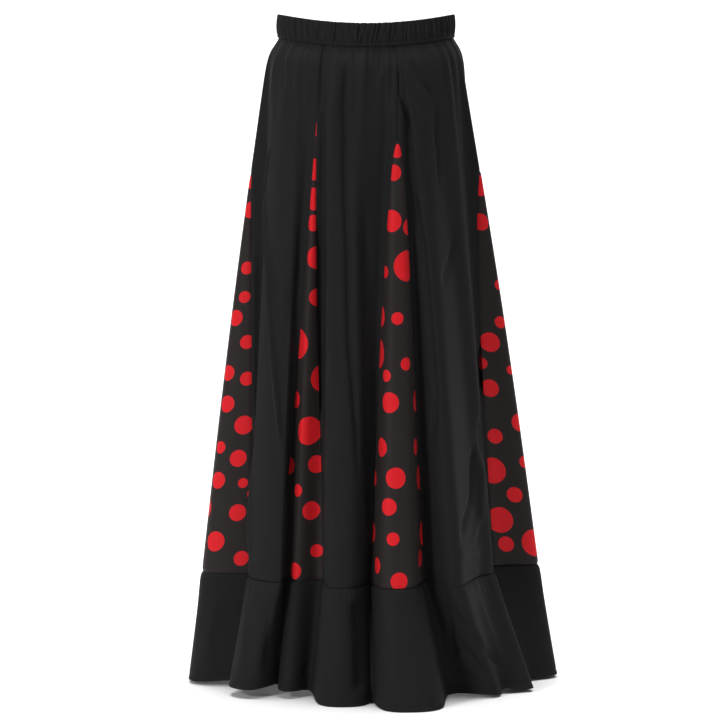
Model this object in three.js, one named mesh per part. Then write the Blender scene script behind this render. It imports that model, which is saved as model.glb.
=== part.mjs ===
// Flamenco skirt as it hangs when worn: a gathered waistband, six plain gores, six dotted godets let in
// between them, and a flared ruffle at the hem. Every piece is a 2 mm wall on one folded surface.
// Millimetres, +Z up, front towards -Y, origin at the middle of the waist opening.
// Directions are degrees round the axis from the front, growing towards +X (the wearer's left).
import * as THREE from 'three';

// Cloth
const WALL = 2;
const SEAM_GAP = 0.3;

// Heights
const BAND_TO_FLOOR = 978; // from the middle of the band to the floor, at the side
const BAND_HEIGHT = 34;
const FRONT_DIP = 14; // the waist sits this much lower in front than at the sides
const BACK_DIP = 12.5; // and this much lower at the back
const RUFFLE_HEIGHT = 168;
const WAIST_SEAM_Z = -BAND_HEIGHT / 2;
const RUFFLE_SEAM_Z = RUFFLE_HEIGHT - BAND_TO_FLOOR;
const BODY_LENGTH = WAIST_SEAM_Z - RUFFLE_SEAM_Z;

// Waist ellipse, at the foot of the band
const WAIST_HALF_WIDTH = 131;
const WAIST_HALF_DEPTH = 96;

// The cloth springs out just under the band, where the gathers open
const RELEASE = 13;
const RELEASE_DEPTH = 14;
const BELL = 0.04; // how much sooner than in straight lines it widens

// Small gathers below the band, fading out down the skirt
const GATHERS = 33;
const GATHER_SWELL = 2.4;
const GATHER_FADE_DEPTH = 90;
const GATHER_START_DEPTH = 12;

// Gathers of the elastic band
const BAND_RIPPLES = 60;
const BAND_RIPPLE_SWELL = 1.5;
const BAND_CROWN = 1.6;

// Godets
const GODET_WAIST_HALF_ANGLE = 3.5; // how much of the waist each godet's fold grows from
const GODET_TIP = 1; // width of the blunt tip at the top of a godet

// One row for each big fold, from the wearer's right side round the front. A fold has a ridge at one
// direction and reach, shoulders on both sides of it, and a valley between it and the next fold.
const SHOULDER_REACH = 0.955;
const FOLD_COLUMNS = [
  'panel', 'kind', 'waistAt',
  'seamAt', 'seamReach', 'seamSpread', 'seamValleyAt', 'seamValleyReach',
  'hemAt', 'hemReach', 'hemSpread', 'hemValleyAt', 'hemValleyReach', 'hemLift',
];
const FOLDS = [
  ['godet_side_right', 'godet', -86, -80, 248, 7, -66, 178, -81, 269, 8, -65, 205, 5],
  ['gore_front_right', 'gore', -55, -49.5, 210, 13, -47.5, 172, -48.5, 256, 8, -43, 190, 14],
  ['godet_front_right', 'godet', -28.5, -36.5, 178, 4.5, -25.5, 146, -34, 218, 5, -27.5, 174, 12],
  ['gore_front_centre', 'gore', -17, -10, 218, 7, 2, 155, -9, 250, 8.5, 2.5, 212, 0],
  ['godet_front_left', 'godet', 19, 12.5, 224, 8.2, 30, 168, 14.5, 294, 9.5, 36, 200, 0],
  ['gore_front_left', 'gore', 28, 35.5, 236, 5, 56, 198, 49, 258, 5, 56, 250, 5],
  ['gore_front_left', 'gore', 52, 70, 203, 7, 93, 190, 63.5, 276, 4, 77.5, 236, 6],
  ['godet_side_left', 'godet', 72, 98, 263, 4.5, 112, 198, 91, 289, 5.5, 106, 232, 5],
  ['gore_back_left', 'gore', 104, 127, 232, 7, 141, 170, 125, 262, 8, 139, 208, 9],
  ['godet_back_left', 'godet', 139, 154, 236, 7, 167, 166, 153, 280, 8, 167, 206, 3],
  ['gore_back_centre', 'gore', 171, 183, 224, 7, 197, 168, 183, 264, 8, 197, 208, 8],
  ['godet_back_right', 'godet', 206, 211, 238, 7, 224, 170, 212, 282, 8, 226, 208, 0],
  ['gore_back_right', 'gore', 240, 243, 230, 8, 262, 190, 244, 264, 8, 262, 222, 7],
].map((row) => Object.fromEntries(row.map((value, index) => [FOLD_COLUMNS[index], value])));

// How far below the waist seam each godet starts, one of the body's rows, and how it widens from there:
// at 1 evenly, and below 1 sooner
const GODET_CUTS = {
  godet_side_right: { start: 195, widening: 0.8 },
  godet_front_right: { start: 116, widening: 1.0 },
  godet_front_left: { start: 140, widening: 0.7 },
  godet_side_left: { start: 195, widening: 0.6 },
  godet_back_left: { start: 140, widening: 0.8 },
  godet_back_right: { start: 195, widening: 0.8 },
};

// Rows of points down the body, below the waist seam, and down the ruffle as shares of its height
const BODY_ROWS = [0, 10, 30, 65, 116, 140, 195, 275, 380, 510, 660, BODY_LENGTH];
const RUFFLE_ROWS = [0, 0.3, 0.65, 1];
const BAND_ROWS = [0, 0.5, 1];
const GORE_COLUMNS = 22;
const GODET_COLUMNS = 11;
const RUFFLE_COLUMNS = 28;
const BAND_COLUMNS = 180;
const EVEN_COLUMNS_UNTIL = 0.35; // share of the body down which a gore's columns stay evenly spaced

const POINTS_PER_FOLD = 4; // two shoulders, a ridge and a valley
const TURN = FOLDS.length * POINTS_PER_FOLD; // once round, counted in points
const ARC_STEPS = 16; // steps measured between two points

const radians = (degrees) => THREE.MathUtils.degToRad(degrees);
const direction = (degrees) => new THREE.Vector2(Math.sin(radians(degrees)), -Math.cos(radians(degrees)));
const wrap = (index) => ((index % TURN) + TURN) % TURN;

// A fold's four points, from the columns of one level
function foldPlan(at, reach, spread, valleyAt, valleyReach) {
  return [
    direction(at - spread).multiplyScalar(reach * SHOULDER_REACH),
    direction(at).multiplyScalar(reach),
    direction(at + spread).multiplyScalar(reach * SHOULDER_REACH),
    direction(valleyAt).multiplyScalar(valleyReach),
  ];
}

// The rounded curve runs inside its points, so each point is first moved out by what rounding takes away
function sharpen(points) {
  return points.map((point, index) => {
    const before = points[wrap(index - 1)];
    const after = points[wrap(index + 1)];
    const pull = before.clone().add(after).multiplyScalar(0.5).sub(point);
    return point.clone().addScaledVector(pull, -1 / 3);
  });
}

const SEAM_PLAN = sharpen(FOLDS.flatMap((fold) => foldPlan(
  fold.seamAt, fold.seamReach, fold.seamSpread, fold.seamValleyAt, fold.seamValleyReach,
)));
const HEM_PLAN = sharpen(FOLDS.flatMap((fold) => foldPlan(
  fold.hemAt, fold.hemReach, fold.hemSpread, fold.hemValleyAt, fold.hemValleyReach,
)));
const VALLEY_LIFT = 4;
const HEM_LIFTS = FOLDS.flatMap((fold, index) => {
  const next = FOLDS[(index + 1) % FOLDS.length];
  return [fold.hemLift, fold.hemLift, fold.hemLift, (fold.hemLift + next.hemLift) / 2 + VALLEY_LIFT];
});

// Where a fold's ridge and valley come from on the waist: a godet's fold grows from a narrow share of it
function waistValley(index) {
  const fold = FOLDS[index];
  const next = FOLDS[(index + 1) % FOLDS.length];
  const nextAt = next.waistAt + (index + 1 === FOLDS.length ? 360 : 0);
  if (fold.kind === 'godet') return fold.waistAt + GODET_WAIST_HALF_ANGLE;
  if (next.kind === 'godet') return nextAt - GODET_WAIST_HALF_ANGLE;
  return (fold.waistAt + nextAt) / 2;
}

const WAIST_ANGLES = FOLDS.flatMap((fold, index) => {
  const before = index === 0 ? waistValley(FOLDS.length - 1) - 360 : waistValley(index - 1);
  const after = waistValley(index);
  return [(before + fold.waistAt) / 2, fold.waistAt, (fold.waistAt + after) / 2, after];
});

// Weights of the four nearest points on a uniform cubic B-spline
function splineWeights(share) {
  const rest = 1 - share;
  return [
    rest ** 3 / 6,
    (3 * share ** 3 - 6 * share ** 2 + 4) / 6,
    (-3 * share ** 3 + 3 * share ** 2 + 3 * share + 1) / 6,
    share ** 3 / 6,
  ];
}

function planPoint(points, place) {
  const start = Math.floor(place);
  const weights = splineWeights(place - start);
  const sum = new THREE.Vector2();
  weights.forEach((weight, step) => sum.addScaledVector(points[wrap(start - 1 + step)], weight));
  return sum;
}

// The same spline over plain numbers; rise is what the values gain in one turn
function planValue(values, place, rise) {
  const start = Math.floor(place);
  return splineWeights(place - start).reduce((sum, weight, step) => {
    const index = start - 1 + step;
    return sum + weight * (values[wrap(index)] + rise * Math.floor(index / TURN));
  }, 0);
}

const waistAngle = (place) => planValue(WAIST_ANGLES, place, 360);

// How far the waist sits below its height at the sides
function waistDip(angle) {
  const facing = Math.cos(radians(angle));
  return (facing > 0 ? FRONT_DIP : BACK_DIP) * facing ** 2;
}

function waistPoint(angle) {
  const way = direction(angle);
  return new THREE.Vector2(WAIST_HALF_WIDTH * way.x, WAIST_HALF_DEPTH * way.y);
}

function waistOutward(angle) {
  const way = direction(angle);
  return new THREE.Vector2(way.x / WAIST_HALF_WIDTH, way.y / WAIST_HALF_DEPTH).normalize();
}

// Uneven gathers: a wave whose spacing and swell wander round the waist
function gatherWave(angle, count) {
  const turn = radians(angle);
  const wander = 0.9 * Math.sin(5 * turn + 0.7) + 0.6 * Math.sin(11 * turn + 2.1);
  const swell = 0.75 + 0.25 * Math.sin(7 * turn + 1.3);
  return swell * Math.cos(count * turn + wander);
}

function gatherSwell(depth) {
  const start = 1 - Math.exp(-depth / GATHER_START_DEPTH);
  return GATHER_SWELL * start * Math.exp(-depth / GATHER_FADE_DEPTH);
}

// The body's surface, from the waist seam (share 0) to the ruffle seam (share 1)
function bodyPoint(place, share, gathered = true) {
  const angle = waistAngle(place);
  const depth = share * BODY_LENGTH;
  const ripple = gathered ? gatherSwell(depth) * gatherWave(angle, GATHERS) : 0;
  const release = RELEASE * (1 - Math.exp(-depth / RELEASE_DEPTH)) + ripple;
  const top = waistPoint(angle).addScaledVector(waistOutward(angle), release);
  const spread = share + BELL * Math.sin(Math.PI * share);
  const plan = top.lerp(planPoint(SEAM_PLAN, place), spread);
  const height = THREE.MathUtils.lerp(WAIST_SEAM_Z - waistDip(angle), RUFFLE_SEAM_Z, share);
  return new THREE.Vector3(plan.x, plan.y, height);
}

// The ruffle's surface, from its seam (share 0) to the hem (share 1)
function rufflePoint(place, share) {
  const plan = planPoint(SEAM_PLAN, place).lerp(planPoint(HEM_PLAN, place), share);
  const hem = planValue(HEM_LIFTS, place, 0) - BAND_TO_FLOOR;
  const height = THREE.MathUtils.lerp(RUFFLE_SEAM_Z - SEAM_GAP, hem, share);
  return new THREE.Vector3(plan.x, plan.y, height);
}

// The band's surface, from its top edge (share 0) to the waist seam (share 1)
function bandPoint(angle, share) {
  const crown = Math.sin(Math.PI * share);
  const swell = BAND_CROWN * crown + BAND_RIPPLE_SWELL * (0.6 + 0.4 * crown) * gatherWave(angle, BAND_RIPPLES);
  const plan = waistPoint(angle).addScaledVector(waistOutward(angle), swell);
  const height = BAND_HEIGHT / 2 - waistDip(angle) - share * BAND_HEIGHT;
  return new THREE.Vector3(plan.x, plan.y, height);
}

// The level way out of a surface at one place
function levelOutward(surface, place, share, step) {
  const before = surface(place - step, share);
  const after = surface(place + step, share);
  return new THREE.Vector3(after.y - before.y, before.x - after.x, 0).normalize();
}

// Lengths along one level of the body, from place 0, so that widths of cloth can be laid off on it
const arcCache = new Map();
function arcTable(share) {
  if (!arcCache.has(share)) {
    const lengths = [0];
    let last = bodyPoint(0, share, false);
    for (let step = 1; step <= TURN * ARC_STEPS; step += 1) {
      const point = bodyPoint(step / ARC_STEPS, share, false);
      lengths.push(lengths[step - 1] + point.distanceTo(last));
      last = point;
    }
    arcCache.set(share, lengths);
  }
  return arcCache.get(share);
}

function arcAt(place, share) {
  const lengths = arcTable(share);
  const round = lengths[lengths.length - 1];
  const turns = Math.floor(place / TURN);
  const step = (place - turns * TURN) * ARC_STEPS;
  const low = Math.min(Math.floor(step), lengths.length - 2);
  return turns * round + THREE.MathUtils.lerp(lengths[low], lengths[low + 1], step - low);
}

function placeAtArc(arc, share) {
  const lengths = arcTable(share);
  const round = lengths[lengths.length - 1];
  const turns = Math.floor(arc / round);
  const rest = arc - turns * round;
  let low = 0;
  let high = lengths.length - 1;
  while (high - low > 1) {
    const middle = Math.floor((low + high) / 2);
    if (lengths[middle] <= rest) low = middle;
    else high = middle;
  }
  const part = (rest - lengths[low]) / (lengths[high] - lengths[low]);
  return turns * TURN + (low + part) / ARC_STEPS;
}

// A godet widens from its tip to the ruffle seam, where it fills its fold from valley to valley.
// side is -1 or 1, and beyond is how far the edge stands off from the stitching line.
const isAbove = (share, godet) => share < godet.start - 1e-9;
function godetEdge(godet, side, share, beyond) {
  const valley = godet.ridge + (side < 0 ? -2 : 2);
  const fullWidth = Math.abs(arcAt(valley, 1) - arcAt(godet.ridge, 1));
  const grown = Math.max(0, (share - godet.start) / (1 - godet.start)) ** godet.widening;
  const width = isAbove(share, godet) ? 0 : GODET_TIP / 2 + grown * (fullWidth - GODET_TIP / 2);
  return placeAtArc(arcAt(godet.ridge, share) + side * (width + beyond), share);
}

// A wall between two grids of points, closed all round; a ring joins its last column to its first
function wallGeometry(columns, rows, pointAt, outwardAt, ring) {
  const columnCount = ring ? columns : columns + 1;
  const positions = [];
  for (const depth of [0, WALL]) {
    for (let row = 0; row <= rows; row += 1) {
      for (let column = 0; column < columnCount; column += 1) {
        const point = pointAt(column, row).addScaledVector(outwardAt(column, row), -depth);
        positions.push(point.x, point.y, point.z);
      }
    }
  }
  const inside = columnCount * (rows + 1);
  const outer = (column, row) => row * columnCount + (column % columnCount);
  const inner = (column, row) => inside + outer(column, row);
  const faces = [];
  const quad = (a, b, c, d) => faces.push(a, b, c, a, c, d);
  for (let column = 0; column < columns; column += 1) {
    const next = column + 1;
    for (let row = 0; row < rows; row += 1) {
      const below = row + 1;
      quad(outer(column, row), outer(column, below), outer(next, below), outer(next, row));
      quad(inner(column, row), inner(next, row), inner(next, below), inner(column, below));
    }
    quad(outer(column, 0), outer(next, 0), inner(next, 0), inner(column, 0));
    quad(outer(next, rows), outer(column, rows), inner(column, rows), inner(next, rows));
  }
  for (let row = 0; row < rows && !ring; row += 1) {
    const below = row + 1;
    quad(outer(0, row), inner(0, row), inner(0, below), outer(0, below));
    quad(outer(columns, row), outer(columns, below), inner(columns, below), inner(columns, row));
  }
  const geometry = new THREE.BufferGeometry();
  geometry.setAttribute('position', new THREE.Float32BufferAttribute(positions, 3));
  geometry.setIndex(faces);
  geometry.computeVertexNormals();
  return geometry;
}

const OUTWARD_STEP = 0.05;
const outwardOf = (surface, placeAt, shares) => (column, row) => (
  levelOutward(surface, placeAt(column, row), shares[row], OUTWARD_STEP));

const bodyShare = (depth) => Math.max(depth, SEAM_GAP) / BODY_LENGTH;
const godets = FOLDS.map((fold, index) => ({
  name: fold.panel,
  kind: fold.kind,
  ridge: index * POINTS_PER_FOLD + 1,
  start: bodyShare(GODET_CUTS[fold.panel]?.start ?? 0),
  widening: GODET_CUTS[fold.panel]?.widening,
})).filter((fold) => fold.kind === 'godet');

const materials = {
  plain: new THREE.MeshStandardMaterial({ color: 0x242426, roughness: 0.85, metalness: 0, name: 'plain_cloth' }),
  dotted: new THREE.MeshStandardMaterial({ color: 0x4a2426, roughness: 0.75, metalness: 0, name: 'dotted_cloth' }),
};

function pieceMesh(name, geometry, material) {
  const mesh = new THREE.Mesh(geometry, material);
  mesh.name = name;
  return mesh;
}

function godetMesh(godet) {
  const shares = BODY_ROWS.map(bodyShare).filter((share) => !isAbove(share, godet));
  const placeAt = (column, row) => {
    const left = godetEdge(godet, -1, shares[row], 0);
    const right = godetEdge(godet, 1, shares[row], 0);
    return THREE.MathUtils.lerp(left, right, column / GODET_COLUMNS);
  };
  const pointAt = (column, row) => bodyPoint(placeAt(column, row), shares[row]);
  const outwardAt = outwardOf(bodyPoint, placeAt, shares);
  const geometry = wallGeometry(GODET_COLUMNS, shares.length - 1, pointAt, outwardAt, false);
  return pieceMesh(godet.name, geometry, materials.dotted);
}

// A gore lies between two godets. Higher up, where they haven't started, it meets the next gore.
function goreMesh(name, before, after) {
  const shares = BODY_ROWS.map(bodyShare);
  const edges = shares.map((share) => {
    const turn = after.ridge < before.ridge ? TURN : 0;
    const standOff = (godet) => (isAbove(share, godet) ? SEAM_GAP / 2 : SEAM_GAP);
    return {
      left: godetEdge(before, 1, share, standOff(before)),
      right: godetEdge(after, -1, share, standOff(after)) + turn,
    };
  });
  const placeAt = (column, row) => {
    const { left, right } = edges[row];
    const part = column / GORE_COLUMNS;
    const even = placeAtArc(
      THREE.MathUtils.lerp(arcAt(left, shares[row]), arcAt(right, shares[row]), part), shares[row]);
    const folded = THREE.MathUtils.lerp(left, right, part);
    return THREE.MathUtils.lerp(even, folded, THREE.MathUtils.smoothstep(shares[row], 0, EVEN_COLUMNS_UNTIL));
  };
  const pointAt = (column, row) => bodyPoint(placeAt(column, row), shares[row]);
  const outwardAt = outwardOf(bodyPoint, placeAt, shares);
  const geometry = wallGeometry(GORE_COLUMNS, shares.length - 1, pointAt, outwardAt, false);
  return pieceMesh(name, geometry, materials.plain);
}

// Each ruffle strip runs from the valley before one godet to the valley before the next
function ruffleMesh(name, godet, nextGodet) {
  const turn = nextGodet.ridge < godet.ridge ? TURN : 0;
  const halfGap = (place, way) => {
    const step = rufflePoint(place, 0).distanceTo(rufflePoint(place + way * OUTWARD_STEP, 0));
    return way * OUTWARD_STEP * (SEAM_GAP / 2) / step;
  };
  const first = godet.ridge - 2;
  const last = nextGodet.ridge - 2 + turn;
  const left = first + halfGap(first, 1);
  const right = last + halfGap(last, -1);
  const placeAt = (column) => THREE.MathUtils.lerp(left, right, column / RUFFLE_COLUMNS);
  const pointAt = (column, row) => rufflePoint(placeAt(column), RUFFLE_ROWS[row]);
  const outwardAt = outwardOf(rufflePoint, placeAt, RUFFLE_ROWS);
  const geometry = wallGeometry(RUFFLE_COLUMNS, RUFFLE_ROWS.length - 1, pointAt, outwardAt, false);
  return pieceMesh(name, geometry, materials.plain);
}

function bandMesh() {
  const angleAt = (column) => (column * 360) / BAND_COLUMNS;
  const pointAt = (column, row) => bandPoint(angleAt(column), BAND_ROWS[row]);
  const outwardAt = (column) => {
    const way = waistOutward(angleAt(column));
    return new THREE.Vector3(way.x, way.y, 0);
  };
  const geometry = wallGeometry(BAND_COLUMNS, BAND_ROWS.length - 1, pointAt, outwardAt, true);
  return pieceMesh('waistband_casing', geometry, materials.plain);
}

const skirt = new THREE.Group();
skirt.name = 'flamenco_skirt';
skirt.add(bandMesh());
godets.forEach((godet, index) => {
  const next = godets[(index + 1) % godets.length];
  const goreName = FOLDS[Math.floor(godet.ridge / POINTS_PER_FOLD) + 1].panel;
  skirt.add(godetMesh(godet));
  skirt.add(goreMesh(goreName, godet, next));
  skirt.add(ruffleMesh(`ruffle_strip_${index + 1}`, godet, next));
});

export default skirt;
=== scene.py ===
"""Flamenco skirt: thin cloth, print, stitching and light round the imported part, in metres."""

import logging
import math
from collections.abc import Callable
from dataclasses import dataclass
from enum import Enum
from functools import cached_property, lru_cache

import bmesh
import bpy
import numpy as np
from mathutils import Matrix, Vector


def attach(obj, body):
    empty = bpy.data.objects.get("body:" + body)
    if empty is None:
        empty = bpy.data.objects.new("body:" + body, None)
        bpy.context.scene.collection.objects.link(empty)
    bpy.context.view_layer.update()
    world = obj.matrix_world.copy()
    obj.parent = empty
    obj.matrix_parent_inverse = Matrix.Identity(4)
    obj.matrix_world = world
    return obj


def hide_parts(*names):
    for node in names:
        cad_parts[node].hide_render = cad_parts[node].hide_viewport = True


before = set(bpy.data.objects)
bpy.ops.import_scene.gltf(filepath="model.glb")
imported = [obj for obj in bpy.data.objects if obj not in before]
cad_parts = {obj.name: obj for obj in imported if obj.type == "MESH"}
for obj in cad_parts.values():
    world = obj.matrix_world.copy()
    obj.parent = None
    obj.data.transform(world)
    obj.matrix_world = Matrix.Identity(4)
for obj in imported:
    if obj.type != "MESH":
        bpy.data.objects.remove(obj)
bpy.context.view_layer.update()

MM = 0.001
POINTS_PER_FOLD = 4
LOG = logging.getLogger("flamenco_skirt")


class PanelKind(Enum):
    """The two kinds of panel that alternate round the skirt."""

    GORE = "gore"
    GODET = "godet"


def linear(colour: str) -> tuple[float, float, float, float]:
    """Turns an sRGB hex colour into Blender's linear values.

    Args:
        colour: six hex digits, such as "d41c24".

    Returns:
        Red, green, blue and an alpha of 1.
    """
    shares = [int(colour[i : i + 2], 16) / 255 for i in (0, 2, 4)]
    values = [s / 12.92 if s <= 0.04045 else ((s + 0.055) / 1.055) ** 2.4 for s in shares]
    return (values[0], values[1], values[2], 1.0)


def add_node(
    tree: bpy.types.NodeTree, kind: str, links: dict | None = None, **settings: object
) -> bpy.types.Node:
    """Adds one shader node.

    Args:
        tree: the material's node tree.
        kind: the node's type name.
        links: input name or number to the output socket that feeds it.
        settings: node properties, or "in_NAME" for an input's own value.

    Returns:
        The new node.
    """
    node = tree.nodes.new(kind)
    for name, value in settings.items():
        if name.startswith("in_"):
            key = name[3:]
            node.inputs[int(key) if key.isdigit() else key.replace("_", " ")].default_value = value
        else:
            setattr(node, name, value)
    for name, socket in (links or {}).items():
        tree.links.new(socket, node.inputs[name])
    return node


@dataclass(frozen=True)
class Level:
    """A fold's plan at one height: its ridge, its shoulders and the valley after it.

    Directions are degrees from the front, towards the wearer's left, and reaches are millimetres.
    """

    at: float
    reach: float
    spread: float
    valley_at: float
    valley_reach: float


@dataclass(frozen=True)
class Fold:
    """One big fold of the skirt, from the waist down."""

    panel: str
    kind: PanelKind
    waist_at: float
    hem_lift: float
    seam: Level
    hem: Level


FOLDS = (
    Fold(
        "godet_side_right", PanelKind.GODET, waist_at=-86, hem_lift=5,
        seam=Level(-80, 248, 7, -66, 178), hem=Level(-81, 269, 8, -65, 205),
    ),
    Fold(
        "gore_front_right", PanelKind.GORE, waist_at=-55, hem_lift=14,
        seam=Level(-49.5, 210, 13, -47.5, 172), hem=Level(-48.5, 256, 8, -43, 190),
    ),
    Fold(
        "godet_front_right", PanelKind.GODET, waist_at=-28.5, hem_lift=12,
        seam=Level(-36.5, 178, 4.5, -25.5, 146), hem=Level(-34, 218, 5, -27.5, 174),
    ),
    Fold(
        "gore_front_centre", PanelKind.GORE, waist_at=-17, hem_lift=0,
        seam=Level(-10, 218, 7, 2, 155), hem=Level(-9, 250, 8.5, 2.5, 212),
    ),
    Fold(
        "godet_front_left", PanelKind.GODET, waist_at=19, hem_lift=0,
        seam=Level(12.5, 224, 8.2, 30, 168), hem=Level(14.5, 294, 9.5, 36, 200),
    ),
    Fold(
        "gore_front_left", PanelKind.GORE, waist_at=28, hem_lift=5,
        seam=Level(35.5, 236, 5, 56, 198), hem=Level(49, 258, 5, 56, 250),
    ),
    Fold(
        "gore_front_left", PanelKind.GORE, waist_at=52, hem_lift=6,
        seam=Level(70, 203, 7, 93, 190), hem=Level(63.5, 276, 4, 77.5, 236),
    ),
    Fold(
        "godet_side_left", PanelKind.GODET, waist_at=72, hem_lift=5,
        seam=Level(98, 263, 4.5, 112, 198), hem=Level(91, 289, 5.5, 106, 232),
    ),
    Fold(
        "gore_back_left", PanelKind.GORE, waist_at=104, hem_lift=9,
        seam=Level(127, 232, 7, 141, 170), hem=Level(125, 262, 8, 139, 208),
    ),
    Fold(
        "godet_back_left", PanelKind.GODET, waist_at=139, hem_lift=3,
        seam=Level(154, 236, 7, 167, 166), hem=Level(153, 280, 8, 167, 206),
    ),
    Fold(
        "gore_back_centre", PanelKind.GORE, waist_at=171, hem_lift=8,
        seam=Level(183, 224, 7, 197, 168), hem=Level(183, 264, 8, 197, 208),
    ),
    Fold(
        "godet_back_right", PanelKind.GODET, waist_at=206, hem_lift=0,
        seam=Level(211, 238, 7, 224, 170), hem=Level(212, 282, 8, 226, 208),
    ),
    Fold(
        "gore_back_right", PanelKind.GORE, waist_at=240, hem_lift=7,
        seam=Level(243, 230, 8, 262, 190), hem=Level(244, 264, 8, 262, 222),
    ),
)
TURN = len(FOLDS) * POINTS_PER_FOLD


@dataclass(frozen=True)
class GodetCut:
    """Where a godet starts, in millimetres below the waist seam, and how it widens from there."""

    start: float
    widening: float


GODET_CUTS = {
    "godet_side_right": GodetCut(195, 0.8),
    "godet_front_right": GodetCut(116, 1.0),
    "godet_front_left": GodetCut(140, 0.7),
    "godet_side_left": GodetCut(195, 0.6),
    "godet_back_left": GodetCut(140, 0.8),
    "godet_back_right": GodetCut(195, 0.8),
}


def spline(values: np.ndarray, places: np.ndarray, rise: float = 0.0) -> np.ndarray:
    """Reads a closed uniform cubic B-spline.

    Args:
        values: one row for each point of the turn.
        places: where to read it, counted in points.
        rise: what the values gain in one turn.

    Returns:
        The values at those places.
    """
    start = np.floor(places).astype(int)
    share = (places - start)[..., None]
    rest = 1 - share
    weights = (
        rest**3 / 6,
        (3 * share**3 - 6 * share**2 + 4) / 6,
        (-3 * share**3 + 3 * share**2 + 3 * share + 1) / 6,
        share**3 / 6,
    )
    count = len(values)
    total = 0.0
    for step, weight in enumerate(weights):
        index = start - 1 + step
        total = total + weight * (values[index % count] + rise * (index // count)[..., None])
    return total


def direction(degrees: np.ndarray) -> np.ndarray:
    """Level unit vectors, from degrees round the axis from the front."""
    turn = np.radians(degrees)
    return np.stack([np.sin(turn), -np.cos(turn)], -1)


@dataclass(frozen=True)
class SkirtForm:
    """The folded surface that every piece of the skirt lies on, in millimetres."""

    band_to_floor: float = 978.0
    band_height: float = 34.0
    front_dip: float = 14.0
    back_dip: float = 12.5
    ruffle_height: float = 168.0
    waist_half_width: float = 131.0
    waist_half_depth: float = 96.0
    release: float = 13.0
    release_depth: float = 14.0
    bell: float = 0.04
    godet_waist_half_angle: float = 3.5
    shoulder_reach: float = 0.955
    valley_lift: float = 4.0
    arc_steps: int = 24

    @property
    def waist_seam_z(self) -> float:
        """Height of the waist seam at the sides."""
        return -self.band_height / 2

    @property
    def ruffle_seam_z(self) -> float:
        """Height of the seam between the body and the ruffle."""
        return self.ruffle_height - self.band_to_floor

    @property
    def body_length(self) -> float:
        """Height of the body, from waist seam to ruffle seam."""
        return self.waist_seam_z - self.ruffle_seam_z

    def plan_of(self, levels: list[Level]) -> np.ndarray:
        """Lays out one level's points and moves them out by what rounding takes away.

        Args:
            levels: one for each fold.

        Returns:
            The spline's points.
        """
        rows = []
        for level in levels:
            shoulder = level.reach * self.shoulder_reach
            rows += [
                direction(level.at - level.spread) * shoulder,
                direction(level.at) * level.reach,
                direction(level.at + level.spread) * shoulder,
                direction(level.valley_at) * level.valley_reach,
            ]
        points = np.array(rows)
        middle = (np.roll(points, 1, 0) + np.roll(points, -1, 0)) / 2
        return points - (middle - points) / 3

    @cached_property
    def seam_plan(self) -> np.ndarray:
        """The plan at the ruffle seam."""
        return self.plan_of([fold.seam for fold in FOLDS])

    @cached_property
    def hem_plan(self) -> np.ndarray:
        """The plan at the hem."""
        return self.plan_of([fold.hem for fold in FOLDS])

    @cached_property
    def hem_lifts(self) -> np.ndarray:
        """How far each point of the hem hangs above the floor.

        Returns:
            Millimetres, one row for each point of the plan.
        """
        lifts = []
        for index, fold in enumerate(FOLDS):
            after = FOLDS[(index + 1) % len(FOLDS)]
            lifts += [fold.hem_lift] * 3 + [(fold.hem_lift + after.hem_lift) / 2 + self.valley_lift]
        return np.array(lifts)[:, None]

    def waist_valley(self, index: int) -> float:
        """Where the valley after a fold starts on the waist.

        Args:
            index: the fold's row.

        Returns:
            The direction in degrees.
        """
        fold = FOLDS[index]
        after = FOLDS[(index + 1) % len(FOLDS)]
        after_at = after.waist_at + (360 if index + 1 == len(FOLDS) else 0)
        if fold.kind is PanelKind.GODET:
            return fold.waist_at + self.godet_waist_half_angle
        if after.kind is PanelKind.GODET:
            return after_at - self.godet_waist_half_angle
        return (fold.waist_at + after_at) / 2

    @cached_property
    def waist_angles(self) -> np.ndarray:
        """The direction on the waist that each point of the plan hangs from.

        Returns:
            Degrees, one row for each point of the plan.
        """
        angles = []
        for index, fold in enumerate(FOLDS):
            before = self.waist_valley(index - 1) if index else self.waist_valley(len(FOLDS) - 1) - 360
            after = self.waist_valley(index)
            angles += [(before + fold.waist_at) / 2, fold.waist_at, (fold.waist_at + after) / 2, after]
        return np.array(angles)[:, None]

    def waist_angle(self, places: np.ndarray) -> np.ndarray:
        """The direction on the waist that each place hangs from."""
        return spline(self.waist_angles, places, 360.0)[..., 0]

    def waist_dip(self, angles: np.ndarray) -> np.ndarray:
        """How far the waist sits below its height at the sides."""
        facing = np.cos(np.radians(angles))
        return np.where(facing > 0, self.front_dip, self.back_dip) * facing**2

    def waist_point(self, angles: np.ndarray) -> np.ndarray:
        """Points of the waist ellipse."""
        return direction(angles) * np.array([self.waist_half_width, self.waist_half_depth])

    def waist_outward(self, angles: np.ndarray) -> np.ndarray:
        """The level ways out of the waist ellipse."""
        ways = direction(angles) / np.array([self.waist_half_width, self.waist_half_depth])
        return ways / np.linalg.norm(ways, axis=-1, keepdims=True)

    def body(self, places: np.ndarray, shares: np.ndarray) -> np.ndarray:
        """Points of the body.

        Args:
            places: places round the skirt.
            shares: 0 at the waist seam and 1 at the ruffle seam, one for each place.

        Returns:
            Points in millimetres.
        """
        angles = self.waist_angle(places)
        depth = np.maximum(shares, 0) * self.body_length
        release = self.release * (1 - np.exp(-depth / self.release_depth))
        top = self.waist_point(angles) + self.waist_outward(angles) * release[..., None]
        spread = (shares + self.bell * np.sin(np.pi * shares))[..., None]
        plan = top * (1 - spread) + spline(self.seam_plan, places) * spread
        start = self.waist_seam_z - self.waist_dip(angles)
        height = start * (1 - shares) + self.ruffle_seam_z * shares
        return np.concatenate([plan, height[..., None]], -1)

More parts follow.
